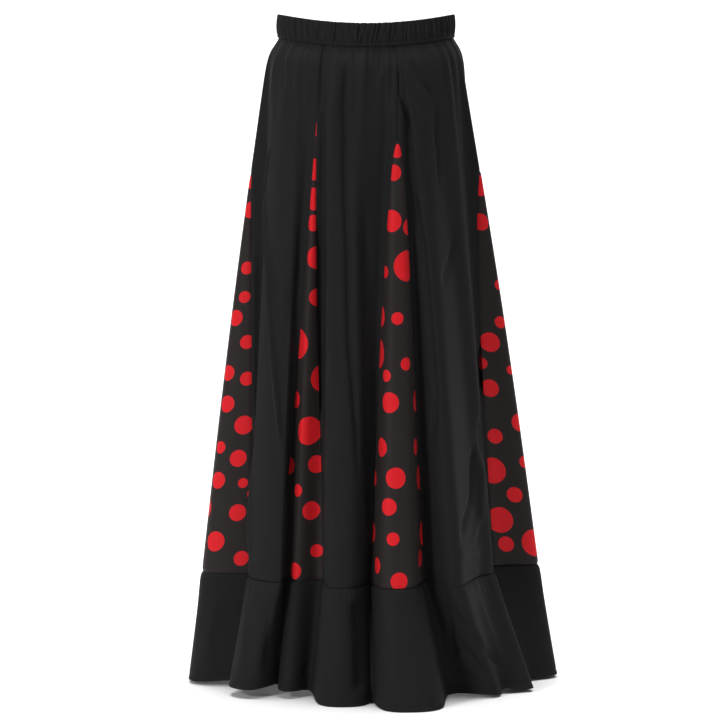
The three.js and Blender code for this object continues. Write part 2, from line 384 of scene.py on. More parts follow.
    def ruffle(self, places: np.ndarray, shares: np.ndarray) -> np.ndarray:
        """Points of the ruffle.

        Args:
            places: places round the skirt.
            shares: 0 at the ruffle's seam and 1 at the hem, one for each place.

        Returns:
            Points in millimetres.
        """
        blend = shares[..., None]
        plan = spline(self.seam_plan, places) * (1 - blend) + spline(self.hem_plan, places) * blend
        hem = spline(self.hem_lifts, places)[..., 0] - self.band_to_floor
        height = self.ruffle_seam_z * (1 - shares) + hem * shares
        return np.concatenate([plan, height[..., None]], -1)

    @lru_cache(maxsize=None)
    def ruler(self, share: float) -> tuple[np.ndarray, np.ndarray]:
        """Lengths of cloth along one level of the body, over three turns.

        Args:
            share: the level, 0 at the waist seam and 1 at the ruffle seam.

        Returns:
            Places, and the length from place 0 to each.
        """
        places = np.linspace(-TURN, 2 * TURN, 3 * TURN * self.arc_steps + 1)
        points = self.body(places, np.full(places.shape, share))
        steps = np.linalg.norm(np.diff(points, axis=0), axis=1)
        lengths = np.concatenate([[0.0], np.cumsum(steps)])
        return places, lengths - np.interp(0.0, places, lengths)

    def arc_at(self, place: float, share: float) -> float:
        """Length of cloth from place 0 to a place."""
        places, lengths = self.ruler(share)
        return float(np.interp(place, places, lengths))

    def place_at(self, arcs: np.ndarray, share: float) -> np.ndarray:
        """Places at lengths of cloth from place 0."""
        places, lengths = self.ruler(share)
        return np.interp(arcs, lengths, places)


FORM = SkirtForm()


@dataclass(frozen=True)
class Godet:
    """One godet's seams, laid off from its ridge line."""

    name: str
    ridge: int

    @property
    def cut(self) -> GodetCut:
        """Its start and widening."""
        return GODET_CUTS[self.name]

    @property
    def start(self) -> float:
        """The share of the body where it starts."""
        return self.cut.start / FORM.body_length

    def edge(self, side: int, share: float) -> float:
        """How far its seam lies from the ridge line at one level.

        Args:
            side: -1 towards the wearer's right, 1 towards the left.
            share: the level on the body.

        Returns:
            The length of cloth from place 0 to the seam, in millimetres.
        """
        ridge = FORM.arc_at(self.ridge, share)
        if share < self.start:
            return ridge
        full = abs(FORM.arc_at(self.ridge + 2 * side, 1.0) - FORM.arc_at(self.ridge, 1.0))
        grown = ((share - self.start) / (1 - self.start)) ** self.cut.widening
        return ridge + side * grown * full


GODETS = tuple(
    Godet(fold.panel, index * POINTS_PER_FOLD + 1)
    for index, fold in enumerate(FOLDS)
    if fold.kind is PanelKind.GODET
)


def cad_wave(angles: np.ndarray, count: int) -> np.ndarray:
    """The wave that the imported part's own gathers follow, with wandering spacing and swell.

    Args:
        angles: directions in degrees.
        count: waves in one turn.

    Returns:
        Heights from -1 to 1.
    """
    turn = np.radians(angles)
    # Whole waves in a turn, so that the wander closes on itself
    wander = 0.9 * np.sin(5 * turn + 0.7) + 0.6 * np.sin(11 * turn + 2.1)
    return (0.75 + 0.25 * np.sin(7 * turn + 1.3)) * np.cos(count * turn + wander)


@dataclass(frozen=True)
class Gathers:
    """Uneven small gathers under the waist seam, which fade out down the skirt, in millimetres."""

    long_count: int = 33
    long_swell: float = 2.4
    long_start_depth: float = 12.0
    long_fade_depth: float = 90.0
    count: int = 74
    swell: float = 1.15
    start_depth: float = 3.0
    fade_depth: float = 34.0

    def wave(self, angles: np.ndarray, count: int, drift: float) -> np.ndarray:
        """A wave whose spacing and swell wander round the waist.

        Args:
            angles: directions on the waist, in degrees.
            count: waves in one turn.
            drift: moves the wander round, in radians.

        Returns:
            Heights from -1 to 1.
        """
        turn = np.radians(angles)
        wander = 1.3 * np.sin(5 * turn + 0.7 + drift) + 0.8 * np.sin(11 * turn + 2.1 + drift)
        swell = 0.55 + 0.3 * np.sin(7 * turn + 1.3 + drift) + 0.15 * np.sin(17 * turn + drift)
        return swell * np.cos(count * turn + wander)

    def lift(self, angles: np.ndarray, depth: np.ndarray) -> np.ndarray:
        """How far the gathers move cloth outwards.

        Args:
            angles: directions on the waist, in degrees.
            depth: millimetres below the waist seam.

        Returns:
            Millimetres.
        """
        depth = np.maximum(depth, 0)
        turn = np.radians(angles)
        uneven = 1 + 0.45 * np.sin(9 * turn + 0.4) + 0.3 * np.sin(14 * turn + 1.9)
        long = (1 - np.exp(-depth / self.long_start_depth)) * np.exp(-depth / self.long_fade_depth)
        fine = (1 - np.exp(-depth / self.start_depth)) * np.exp(-depth / (self.fade_depth * uneven))
        return self.long_swell * long * cad_wave(angles, self.long_count) + self.swell * fine * self.wave(
            angles, self.count, 0.0
        )


GATHERS = Gathers()


@dataclass(frozen=True)
class Sight:
    """The photograph's camera, in millimetres, with its picture taken as 720 pixels square."""

    aside: float = -9.0
    back: float = 5000.0
    above_floor: float = 900.0
    tilt: float = 4.8
    focal_pixels: float = 3350.0
    picture: float = 720.0
    sensor: float = 36.0

    @property
    def lens(self) -> float:
        """Focal length of the camera, in millimetres."""
        return self.sensor * self.focal_pixels / self.picture

    @property
    def place(self) -> np.ndarray:
        """Where the camera stands."""
        return np.array([self.aside, -self.back, self.above_floor - FORM.band_to_floor])

    def seen(self, points: np.ndarray) -> tuple[np.ndarray, np.ndarray]:
        """Projects points into the picture.

        Args:
            points: places in millimetres.

        Returns:
            Pixels across and down, and the distance in front of the camera.
        """
        turn = math.radians(self.tilt)
        away = points - self.place
        ahead = away[..., 1] * math.cos(turn) - away[..., 2] * math.sin(turn)
        up = away[..., 1] * math.sin(turn) + away[..., 2] * math.cos(turn)
        middle = self.picture / 2
        across = middle + self.focal_pixels * away[..., 0] / ahead
        return np.stack([across, middle - self.focal_pixels * up / ahead], -1), ahead


SIGHT = Sight()


@dataclass
class Drape:
    """A grid of cloth: points in millimetres, and each point's flat place across and down."""

    points: np.ndarray
    across: np.ndarray
    down: np.ndarray

    def outward(self) -> np.ndarray:
        """The ways out of the cloth at each point.

        Returns:
            Unit vectors.
        """
        aside = np.gradient(self.points, axis=1)
        below = np.gradient(self.points, axis=0)
        ways = np.cross(below, aside)
        return ways / np.maximum(np.linalg.norm(ways, axis=-1, keepdims=True), 1e-9)

    def flat_place(self, pixel: np.ndarray, near: float = 3.0, most: float = 14.0) -> np.ndarray:
        """Finds the place on the cloth that shows at a pixel of the photograph.

        Args:
            pixel: across and down in the picture.
            near: how close a point must show to be a candidate, in pixels.
            most: the furthest that the answer may lie from a point, in millimetres.

        Returns:
            The flat place, across and down.
        """
        seen, ahead = SIGHT.seen(self.points)
        gap = np.linalg.norm(seen - pixel, axis=-1)
        score = np.where(gap < near, ahead - 1e6, gap)
        row, column = np.unravel_index(np.argmin(score), score.shape)
        rows, columns = score.shape
        row0, row1 = max(row - 1, 0), min(row + 1, rows - 1)
        column0, column1 = max(column - 1, 0), min(column + 1, columns - 1)
        flat = np.stack([self.across, self.down], -1)
        step_seen, step_flat = (
            np.stack([grid[row, column1] - grid[row, column0], grid[row1, column] - grid[row0, column]], 1)
            for grid in (seen, flat)
        )
        share = np.linalg.lstsq(step_seen, pixel - seen[row, column], rcond=0.05)[0]
        move = step_flat @ share
        size = np.linalg.norm(move)
        return flat[row, column] + move * min(1.0, most / max(size, 1e-9))


def ease(values: np.ndarray, low: float, high: float) -> np.ndarray:
    """Goes smoothly from 0 at low to 1 at high."""
    share = np.clip((values - low) / (high - low), 0, 1)
    return share * share * (3 - 2 * share)


@dataclass(frozen=True)
class Sewing:
    """How cloth is turned in along a seam, in millimetres."""

    half_gap: float = 0.5
    dip: float = 1.5
    dip_width: float = 2.6
    turn: float = 0.3
    layer: float = 0.95
    allowance: tuple[float, ...] = (0.8, 2.0, 3.8, 6.5)
    near_edge: tuple[float, ...] = (0.0, 0.5, 1.2, 2.2, 3.6, 5.4)

    def dipped(self, distance: np.ndarray) -> np.ndarray:
        """How far a seam draws cloth outwards, which is less than nothing.

        Args:
            distance: millimetres from the seam.

        Returns:
            Millimetres.
        """
        return -self.dip * np.exp(-((np.maximum(distance, 0) / self.dip_width) ** 1.5))

    def spaced(self, width: float, count: int) -> np.ndarray:
        """Spaces points across a width, close together by its two seams.

        Args:
            width: millimetres.
            count: how many gaps the middle has.

        Returns:
            Distances from the first seam.
        """
        near = np.array(self.near_edge) * min(1.0, width / (3 * self.near_edge[-1]))
        middle = np.linspace(near[-1], width - near[-1], count + 1)
        return np.concatenate([near[:-1], middle, (width - near[:-1])[::-1]])


SEWING = Sewing()


def piece_from(
    name: str, drape: Drape, thickness: float, nodes: tuple[str, ...], weld: bool = False
) -> bpy.types.Object:
    """Makes a piece of thin cloth from a grid.

    Args:
        name: the new piece's name.
        drape: the grid, in millimetres.
        thickness: of the cloth, in millimetres.
        nodes: the CAD nodes whose place it takes.
        weld: joins the last column to the first.

    Returns:
        The object.
    """
    rows, columns = drape.points.shape[:2]
    mesh = bpy.data.meshes.new(name)
    work = bmesh.new()
    work_uv = work.loops.layers.uv.new("cloth")
    bmesh.ops.create_grid(work, x_segments=columns - 1, y_segments=rows - 1, size=1.0)
    work.verts.ensure_lookup_table()
    grid = np.array([vert.co[:2] for vert in work.verts])
    column = np.rint((grid[:, 0] + 1) / 2 * (columns - 1)).astype(int)
    row = np.rint((1 - grid[:, 1]) / 2 * (rows - 1)).astype(int)
    places = drape.points[row, column] * MM
    for vert, place in zip(work.verts, places.tolist()):
        vert.co = place
    flat = np.stack([drape.across[row, column], -drape.down[row, column]], 1) * MM
    for face in work.faces:
        for loop in face.loops:
            loop[work_uv].uv = flat[loop.vert.index]
        face.smooth = True
    if weld:
        bmesh.ops.remove_doubles(work, verts=work.verts[:], dist=1e-6)
    work.to_mesh(mesh)
    work.free()
    piece = bpy.data.objects.new(name, mesh)
    bpy.context.scene.collection.objects.link(piece)
    solid = piece.modifiers.new("cloth", "SOLIDIFY")
    solid.thickness = thickness * MM
    solid.offset = 0.0
    solid.use_even_offset = False
    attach(piece, "root")
    if nodes:
        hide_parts(*nodes)
    return piece


@dataclass(frozen=True)
class SeenCrease:
    """A soft ridge or trough drawn over the photograph, as the pixels that it runs through.

    Width and rise are millimetres, and a trough's rise is less than nothing.
    """

    seen: tuple[tuple[float, float], ...]
    width: float
    rise: float
    fade: float = 0.25


def along_path(path: np.ndarray, across: np.ndarray, down: np.ndarray) -> tuple[np.ndarray, np.ndarray]:
    """Measures a grid of flat places against a path.

    Args:
        path: the path's points, across and down.
        across: flat places across the piece.
        down: flat places down the piece.

    Returns:
        Distance from the path, and the share of its length reached, at each place.
    """
    steps = np.diff(path, axis=0)
    lengths = np.linalg.norm(steps, axis=1)
    reached = np.concatenate([[0.0], np.cumsum(lengths)])
    best = np.full(across.shape, np.inf)
    share = np.zeros(across.shape)
    for start, step, length, before in zip(path[:-1], steps, lengths, reached[:-1]):
        part = ((across - start[0]) * step[0] + (down - start[1]) * step[1]) / length**2
        part = np.clip(part, 0, 1)
        gap = np.hypot(across - start[0] - part * step[0], down - start[1] - part * step[1])
        closer = gap < best
        best = np.where(closer, gap, best)
        share = np.where(closer, (before + part * length) / reached[-1], share)
    return best, share


@dataclass(frozen=True)
class Line:
    """Columns or rows of a grid: how far along each lies, and how many layers of cloth lie over it."""

    offset: np.ndarray
    under: np.ndarray


def turned_in(offsets: np.ndarray, first: bool, last: bool) -> Line:
    """Adds the seam allowances that lie behind a piece's edges.

    Args:
        offsets: distances from the first edge to the last, in millimetres.
        first: whether the first edge is turned in.
        last: whether the last edge is turned in.

    Returns:
        The columns or rows with their allowances.
    """
    flap = np.array(SEWING.allowance)
    offset, under = [offsets], [np.zeros(len(offsets))]
    if first:
        offset.insert(0, np.concatenate([offsets[0] + flap[::-1], [offsets[0] - SEWING.turn]]))
        under.insert(0, np.concatenate([np.ones(len(flap)), [0.5]]))
    if last:
        offset.append(np.concatenate([[offsets[-1] + SEWING.turn], offsets[-1] - flap]))
        under.append(np.concatenate([[0.5], np.ones(len(flap))]))
    return Line(np.concatenate(offset), np.concatenate(under))


def outward_of(
    surface: Callable[[np.ndarray, np.ndarray], np.ndarray], places: np.ndarray, shares: np.ndarray
) -> np.ndarray:
    """The ways out of one of the form's surfaces.

    Args:
        surface: FORM.body or FORM.ruffle.
        places: places round the skirt.
        shares: how far down the surface, one for each place.

    Returns:
        Unit vectors.
    """
    aside = surface(places + 0.02, shares) - surface(places - 0.02, shares)
    below = surface(places, shares + 0.002) - surface(places, shares - 0.002)
    ways = np.cross(below, aside)
    return ways / np.linalg.norm(ways, axis=-1, keepdims=True)


@dataclass
class Cloth:
    """A piece of thin cloth that lies on the skirt's form, and what it was cut to."""

    name: str
    slot: str = "plain_cloth"
    thickness: float = 0.75
    sunk: float = 0.9
    least_area: float = 0.31
    seen_creases: tuple[SeenCrease, ...] = ()

    def creased(self, drape: Drape) -> np.ndarray:
        """How far the listed creases move the cloth.

        Args:
            drape: the cloth without them.

        Returns:
            Millimetres at each point.
        """
        lift = np.zeros(drape.across.shape)
        for crease in self.seen_creases:
            path = np.array([drape.flat_place(np.array(pixel)) for pixel in crease.seen])
            gap, share = along_path(path, drape.across, drape.down)
            ends = ease(share, 0.0, crease.fade) * ease(1 - share, 0.0, crease.fade)
            lift += crease.rise * np.exp(-((gap / crease.width) ** 2)) * ends
        return lift

    def sewn(self, drape: Drape, material: bpy.types.Material, weld: bool = False) -> bpy.types.Object:
        """Makes the piece and gives it its cloth.

        Args:
            drape: its grid.
            material: its cloth.
            weld: joins the last column to the first.

        Returns:
            The object.
        """
        piece = piece_from(f"{self.name}_cloth", drape, self.thickness, (self.name,), weld)
        piece.data.materials.append(material)
        LOG.info("%s: %d points", piece.name, drape.across.size)
        return piece

    def declare(self, piece: bpy.types.Object, drape: Drape) -> None:
        """Works out the width, length and area that the hanging cloth was cut to, without passing them on.

        Args:
            piece: the cloth's object; not used.
            drape: its grid.
        """
        width = round(float(np.ptp(drape.across)) * MM, 3)
        length = round(float(np.ptp(drape.down)) * MM, 3)
        rows = np.ptp(drape.across, axis=1)
        heights = np.diff(drape.down[:, 0])
        area = float(np.abs(heights * (rows[1:] + rows[:-1]) / 2).sum()) * MM * MM
        area = min(max(area, self.least_area * width * length), width * length)


@dataclass
class BodyPanel(Cloth):
    """A gore or godet of the body, turned in along its seams."""

    left: Godet = GODETS[0]
    left_side: int = 1
    right: Godet = GODETS[0]
    right_side: int = -1
    start: float = 0.0
    column_count: int = 88
    row_count: int = 132
    tuck: tuple[float, ...] = (-9.0, -5.0, -2.0)
    tucked_under: float = 0.6
    drawn_in: float = 2.8
    drawn_depth: float = 8.0

    def edges(self, share: float) -> tuple[float, float]:
        """The lengths of cloth from place 0 to the panel's two edges at one level.

        Args:
            share: the level, 0 at the waist seam and 1 at the ruffle seam.

        Returns:
            Millimetres from place 0 to the first edge and to the second.
        """
        left = self.left.edge(self.left_side, share) + SEWING.half_gap
        right = self.right.edge(self.right_side, share) - SEWING.half_gap
        middle = (left + right) / 2
        return min(left, middle - 0.3), max(right, middle + 0.3)

    def rows(self) -> Line:
        """The grid's rows, as millimetres of height below the waist seam.

        Returns:
            The rows with the allowance that is turned in below.
        """
        near = np.array(SEWING.near_edge)
        begin = self.start * FORM.body_length
        end = FORM.body_length - SEWING.half_gap
        first = begin + (near if self.start == 0 else near[:1])
        steps = np.linspace(0, 1, self.row_count + 1) ** (1.22 if self.start == 0 else 1.0)
        middle = first[-1] + (end - near[-1] - first[-1]) * steps
        offsets = np.concatenate([first[:-1], middle, end - near[:-1][::-1]])
        line = turned_in(offsets, False, True)
        if self.start > 0:
            return line
        tuck = np.array(self.tuck)
        tucked_under = np.full(len(tuck), self.tucked_under)
        return Line(np.concatenate([tuck, line.offset]), np.concatenate([tucked_under, line.under]))

    def grid(self, turned: bool) -> tuple[Drape, np.ndarray, np.ndarray, np.ndarray]:
        """Lays the panel's grid on the form.

        Args:
            turned: whether it takes in the seam allowances.

        Returns:
            The plain drape, its ways outwards, its own lift along the seams, and its places.
        """
        rows = self.rows()
        if not turned:
            flat_rows = rows.under == 0
            rows = Line(rows.offset[flat_rows], rows.under[flat_rows])
        places, across, seams = [], [], []
        for depth, row_under in zip(rows.offset, rows.under):
            share = float(np.clip(depth / FORM.body_length, self.start, 1.0))
            left, right = self.edges(share)
            offsets = SEWING.spaced(right - left, self.column_count)
            columns = turned_in(offsets, True, True) if turned else Line(offsets, np.zeros(len(offsets)))
            arcs = left + columns.offset
            places.append(FORM.place_at(arcs, share))
            middle = (left + right) / 2
            if self.left.name == self.right.name:
                middle = FORM.arc_at(self.left.ridge, share)
            across.append(arcs - middle)
            side = np.minimum(columns.offset, right - left - columns.offset)
            lift = SEWING.dipped(side) + SEWING.dipped(FORM.body_length - SEWING.half_gap - depth)
            if self.start == 0:
                below = max(depth, 0) / self.drawn_depth
                lift = lift + 0.4 * SEWING.dipped(depth) - self.drawn_in * below * math.exp(1 - below)
            seams.append(lift - SEWING.layer * (columns.under + row_under))
        places, across, seams = np.array(places), np.array(across), np.array(seams)
        shares = np.repeat(rows.offset[:, None] / FORM.body_length, places.shape[1], axis=1)
        points = FORM.body(places, shares)
        sewn = rows.under == 0
        middle = points[sewn, places.shape[1] // 2]
        length = np.linalg.norm(np.diff(middle, axis=0), axis=1).sum()
        down = shares * FORM.body_length * length / np.ptp(rows.offset[sewn])
        return Drape(points, across, down), outward_of(FORM.body, places, shares), seams, places

    def draped(self, turned: bool) -> Drape:
        """The panel with its gathers, seams and creases.

        Args:
            turned: whether it takes in the seam allowances.

        Returns:
            The panel's grid.
        """
        plain, outward, seams, places = self.grid(turned)
        angles = FORM.waist_angle(places)
        lift = seams - self.sunk + GATHERS.lift(angles, plain.down)
        soft = Drape(plain.points + outward * lift[..., None], plain.across, plain.down)
        lift = lift + self.creased(soft)
        return Drape(plain.points + outward * lift[..., None], plain.across, plain.down)

    def build(self, material: bpy.types.Material) -> bpy.types.Object:
        """Makes the panel.

        Args:
            material: its cloth.

        Returns:
            The object.
        """
        drape = self.draped(True)
        piece = self.sewn(drape, material)
        self.declare(piece, drape)
        return piece


@dataclass
class RuffleStrip(Cloth):
    """One flared strip of the hem ruffle, with its gathered top seam and stitched hem."""

    first: int = 0
    last: int = TURN
    column_count: int = 110
    row_count: int = 36
    pucker_count: int = 96
    pucker: float = 0.95
    pucker_depth: float = 17.0
    pucker_drifts: tuple[float, float] = (0.9, 2.2)
    puff: float = 1.1
    puff_depth: float = 13.0
    hem: float = 7.0
    hem_turn: tuple[float, ...] = (1.0, 3.0, 5.2, 7.4)
    stitch_dip: float = 0.55
    stitch_dip_width: float = 1.3
    hem_pinch: float = 0.45
    hem_pinch_height: float = 14.0
    hem_waves: int = 130
    hem_drift: float = 0.3
    clear_of_floor: float = 0.1

    @cached_property
    def height(self) -> float:
        """Length of cloth from the seam to the hem.

        Returns:
            Millimetres.
        """
        places = np.full(40, (self.first + self.last) / 2)
        points = FORM.ruffle(places, np.linspace(0, 1, 40))
        return float(np.linalg.norm(np.diff(points, axis=0), axis=1).sum())

    def rows(self) -> Line:
        """The grid's rows, as millimetres below the strip's seam.

        Returns:
            The rows with the allowance above and the hem's turning below.
        """
        near = SEWING.half_gap + np.array(SEWING.near_edge)
        middle = np.linspace(0, 1, self.row_count + 1) ** 1.25
        hem_start = self.height - self.hem - 2
        body = near[-1] + (hem_start - near[-1]) * middle
        edge = self.height - np.array([self.hem + 1, self.hem, self.hem - 1, 4, 2, 0.8, 0.0])
        offsets = np.concatenate([near[:-1], body, edge])
        line = turned_in(offsets, True, False)
        turn = np.array(self.hem_turn)
        offset = np.concatenate([line.offset, [self.height + SEWING.turn], self.height - turn])
        return Line(offset, np.concatenate([line.under, [0.5], np.ones(len(turn))]))

    def columns(self, share: float) -> tuple[np.ndarray, Line]:
        """The grid's columns at one level.

        Args:
            share: the level, 0 at the seam and 1 at the hem.

        Returns:
            Places round the skirt, and the distances along the strip.
        """
        places = np.linspace(self.first, self.last, 600)
        points = FORM.ruffle(places, np.full(600, share))
        lengths = np.concatenate([[0.0], np.cumsum(np.linalg.norm(np.diff(points, axis=0), axis=1))])
        offsets = SEWING.spaced(lengths[-1] - 2 * SEWING.half_gap, self.column_count)
        line = turned_in(offsets, True, True)
        return np.interp(line.offset + SEWING.half_gap, lengths, places), line

    def draped(self) -> Drape:
        """The strip with its puckers, seams, hem and creases.

        Returns:
            The strip's grid.
        """
        rows = self.rows()
        places, across, sides, widths = [], [], [], []
        for offset in rows.offset:
            row_places, line = self.columns(float(np.clip(offset / self.height, 0, 1)))
            width = float(line.offset[line.under == 0][-1])
            places.append(row_places)
            across.append(line.offset - width / 2)
            side = np.minimum(line.offset, width - line.offset)
            sides.append(SEWING.dipped(side) - SEWING.layer * line.under)
        places, across, sides = np.array(places), np.array(across), np.array(sides)
        offset = np.repeat(rows.offset[:, None], places.shape[1], axis=1)
        shares = offset / self.height
        points = FORM.ruffle(places, shares)
        outward = outward_of(FORM.ruffle, places, np.clip(shares, 0, 1))
        angles = FORM.waist_angle(places)
        seam_gap = offset - SEWING.half_gap
        below = np.maximum(seam_gap, 0)
        lift = sides - self.sunk + SEWING.dipped(seam_gap) - SEWING.layer * rows.under[:, None]
        swollen = (below / self.puff_depth) * np.exp(1 - below / self.puff_depth)
        lift += self.puff * swollen
        fine, coarse = self.pucker_drifts
        puckers = GATHERS.wave(angles, self.pucker_count, fine)
        puckers = puckers + 0.5 * GATHERS.wave(angles, self.pucker_count // 2, coarse)
        lift += self.pucker * puckers * swollen * np.exp(-below / (2 * self.pucker_depth))
        to_stitch = self.height - self.hem - offset
        lift -= self.stitch_dip * np.exp(-((to_stitch / self.stitch_dip_width) ** 2))
        edge = np.exp(-(((self.height - offset) / self.hem_pinch_height) ** 2))
        lift += self.hem_pinch * GATHERS.wave(angles, self.hem_waves, self.hem_drift) * edge
        soft = Drape(points + outward * lift[..., None], across, offset)
        lift = lift + self.creased(soft)
        points = points + outward * lift[..., None]
        resting = self.thickness / 2 + self.clear_of_floor - FORM.band_to_floor
        points[..., 2] = np.maximum(points[..., 2], resting)
        return Drape(points, across, offset)

    def stitches(self, drape: Drape) -> "StitchRow":
        """The line of stitches that holds the hem up.

        Args:
            drape: the strip's grid.

        Returns:
            The row of stitches.
        """
        rows = self.rows()
        row = int(np.argmin(np.abs(rows.offset - (self.height - self.hem)) + 100 * rows.under))
        skip = len(SEWING.allowance) + 4
        ways = drape.outward()[row, skip:-skip]
        return StitchRow(drape.points[row, skip:-skip] + ways * (self.thickness / 2), ways)

    def build(self, material: bpy.types.Material) -> tuple[bpy.types.Object, Drape]:
        """Makes the strip.

        Args:
            material: its cloth.

        Returns:
            The object and its grid.
        """
        drape = self.draped()
        piece = self.sewn(drape, material)
        self.declare(piece, drape)
        return piece, drape


@dataclass
class StitchRow:
    """A row of small stitches that lie on the cloth, in millimetres."""

    path: np.ndarray
    outward: np.ndarray
    length: float = 2.9
    pitch: float = 4.1
    width: float = 0.55
    rise: float = 0.22

    def add_to(self, work: bmesh.types.BMesh) -> int:
        """Adds each stitch as a low lozenge.

        Args:
            work: the mesh that takes them.

        Returns:
            How many stitches there are.
        """
        steps = np.linalg.norm(np.diff(self.path, axis=0), axis=1)
        reached = np.concatenate([[0.0], np.cumsum(steps)])
        count = int(reached[-1] // self.pitch)
        for index in range(count):
            middle = (index + 0.5) * self.pitch
            ends = [self.at(reached, middle + side * self.length / 2) for side in (-1, 1)]
            centre, way = self.at(reached, middle), self.way(reached, middle)
            along = ends[1] - ends[0]
            aside = np.cross(along, way)
            aside *= self.width / 2 / max(np.linalg.norm(aside), 1e-9)
            corners = [ends[0], centre - aside, ends[1], centre + aside, centre + way * self.rise]
            verts = [work.verts.new(Vector(corner * MM)) for corner in corners]
            for side in range(4):
                work.faces.new((verts[side], verts[(side + 1) % 4], verts[4])).smooth = True
            work.faces.new((verts[3], verts[2], verts[1], verts[0]))
        return count

    def at(self, reached: np.ndarray, length: float) -> np.ndarray:
        """The point that lies a length along the row."""
        return np.array([np.interp(length, reached, self.path[:, axis]) for axis in range(3)])

    def way(self, reached: np.ndarray, length: float) -> np.ndarray:
        """The way out of the cloth a length along the row."""
        way = np.array([np.interp(length, reached, self.outward[:, axis]) for axis in range(3)])
        return way / np.linalg.norm(way)


def stitching(name: str, rows: list[StitchRow], material: bpy.types.Material) -> bpy.types.Object:
    """Makes one piece of many rows of stitches.

    Args:
        name: the piece's name.
        rows: the rows.
        material: the thread.

    Returns:
        The object.
    """
    mesh = bpy.data.meshes.new(name)
    work = bmesh.new()
    count = sum(row.add_to(work) for row in rows)
    bmesh.ops.recalc_face_normals(work, faces=work.faces[:])
    work.to_mesh(mesh)
    work.free()
    piece = bpy.data.objects.new(name, mesh)
    bpy.context.scene.collection.objects.link(piece)
    piece.data.materials.append(material)
    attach(piece, "root")
    LOG.info("%s: %d stitches", name, count)
    return piece


@dataclass(frozen=True)
class PinchGroup:
    """A group of small slanted gathers on the waistband.

    Directions are degrees from the front, and lean is degrees gained from the top edge to the bottom.
    """

    at: float
    count: int
    spacing: float
    lean: float
    depth: float = 1.7
    width: float = 0.6


